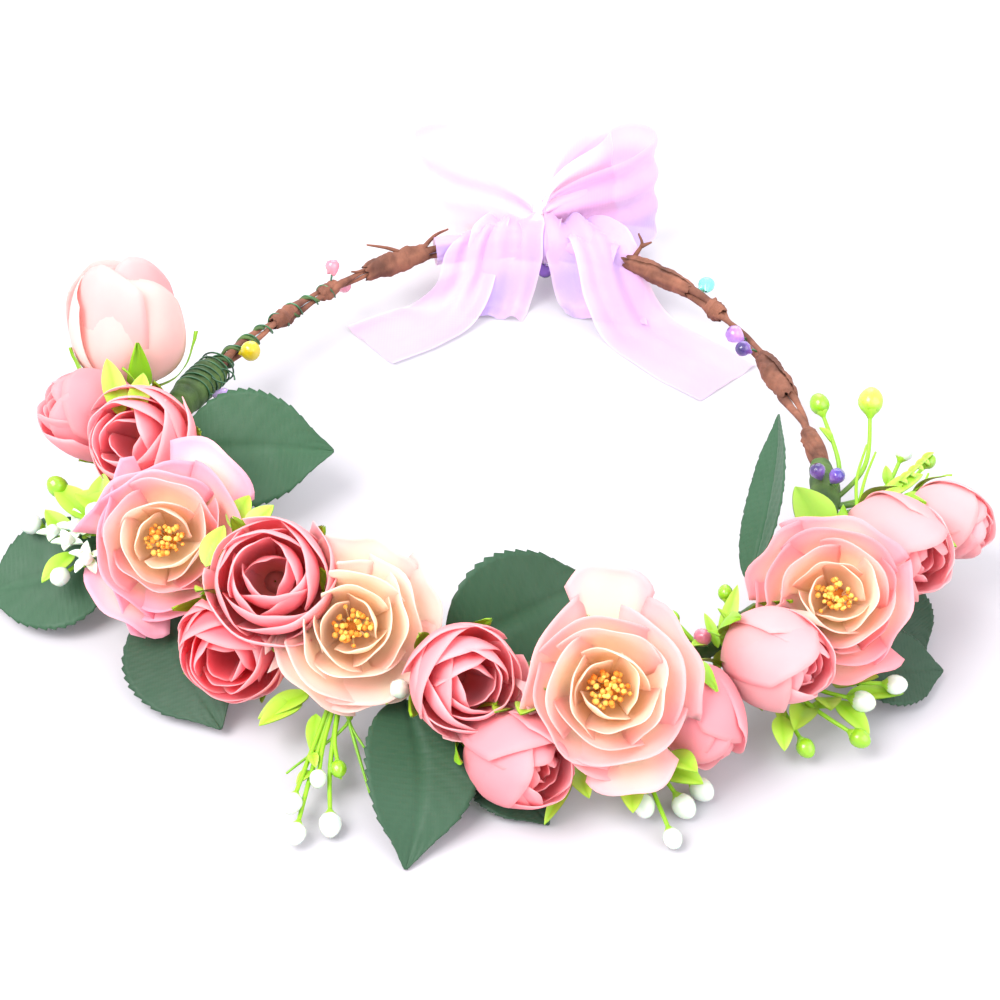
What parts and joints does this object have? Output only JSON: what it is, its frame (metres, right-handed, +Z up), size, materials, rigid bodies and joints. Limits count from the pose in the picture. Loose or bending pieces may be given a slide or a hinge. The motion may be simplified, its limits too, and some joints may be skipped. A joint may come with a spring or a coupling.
{
  "type": "flower crown",
  "caption": "Flower crown: fabric roses, leaves and bud sprigs bound on a twig-wrapped wire hoop, with a sheer ribbon bow and free tails at the back.",
  "frame": {"origin": "centre of the hoop, in the plane of the hoop's wire", "axes": "+Z up through the crown as it is worn, -Y towards the flowered front, +Y towards the bow at the back"},
  "size_m": [0.2606, 0.2625, 0.063],
  "materials": {
    "rose_petal": "matt polyester petal cloth, pink shading to cream at the heart",
    "rose_calyx": "lime green moulded plastic, slightly waxy",
    "stamen": "yellow-orange, granular",
    "leaf": "dark green coated cloth, matt, veined",
    "sprig_stem": "bright green moulded plastic",
    "pearl_bud": "pearly white",
    "berry_pip": "lacquered, mixed yellow, pink, teal and violet",
    "pip_wire": "paper covered",
    "vine_paper": "red-brown crinkled paper bark",
    "steel_wire": "plain drawn wire",
    "floral_tape": "green crepe tape, stretched",
    "binding_wire": "dark green lacquered wire",
    "ribbon": "sheer organza, pale pink and lilac, with a woven edge"
  },
  "bodies": {
    "root": {"berry_pips": "berry_pip", "binding_wire": "binding_wire", "bow_knot": "ribbon", "bow_loops": "ribbon", "floral_tape": "floral_tape", "hoop_wire": "steel_wire", "leaf_01": "leaf", "leaf_02": "leaf", "leaf_03": "leaf", "leaf_04": "leaf", "leaf_05": "leaf", "leaf_06": "leaf", "leaf_07": "leaf", "leaf_08": "leaf", "leaf_09": "leaf", "pip_wires": "pip_wire", "ribbon_wrap": "ribbon", "rose_01_calyx": "rose_calyx", "rose_01_petals": "rose_petal", "rose_02_calyx": "rose_calyx", "rose_02_petals": "rose_petal", "rose_03_calyx": "rose_calyx", "rose_03_petals": "rose_petal", "rose_04_calyx": "rose_calyx", "rose_04_petals": "rose_petal", "rose_05_calyx": "rose_calyx", "rose_05_petals": "rose_petal", "rose_06_calyx": "rose_calyx", "rose_06_petals": "rose_petal", "rose_07_calyx": "rose_calyx", "rose_07_petals": "rose_petal", "rose_08_calyx": "rose_calyx", "rose_08_petals": "rose_petal", "rose_09_calyx": "rose_calyx", "rose_09_petals": "rose_petal", "rose_10_calyx": "rose_calyx", "rose_10_petals": "rose_petal", "rose_11_calyx": "rose_calyx", "rose_11_petals": "rose_petal", "rose_12_calyx": "rose_calyx", "rose_12_petals": "rose_petal", "rose_13_calyx": "rose_calyx", "rose_13_petals": "rose_petal", "rose_14_calyx": "rose_calyx", "rose_14_petals": "rose_petal", "rose_15_calyx": "rose_calyx", "rose_15_petals": "rose_petal", "sprig_1_stems": "sprig_stem", "sprig_2_stems": "sprig_stem", "sprig_3_stems": "sprig_stem", "sprig_4_stems": "sprig_stem", "sprig_5_stems": "sprig_stem", "sprig_6_stems": "sprig_stem", "sprig_buds": "pearl_bud", "stamens": "stamen", "vine_strand_a": "vine_paper", "vine_strand_b": "vine_paper"},
    "tail_left": {"ribbon_tail_left": "ribbon"},
    "tail_right": {"ribbon_tail_right": "ribbon"}
  },
  "joints": [
    {"name": "tail_left_swing", "type": "hinge", "parent": "root", "child": "tail_left", "pos_m": [-0.007, 0.09, -0.006], "axis": [0.5878, -0.809, 0], "range_deg": [0, 80]},
    {"name": "tail_right_swing", "type": "hinge", "parent": "root", "child": "tail_right", "pos_m": [0.037, 0.084, -0.006], "axis": [0.7431, 0.6691, 0], "range_deg": [0, 80]}
  ]
}
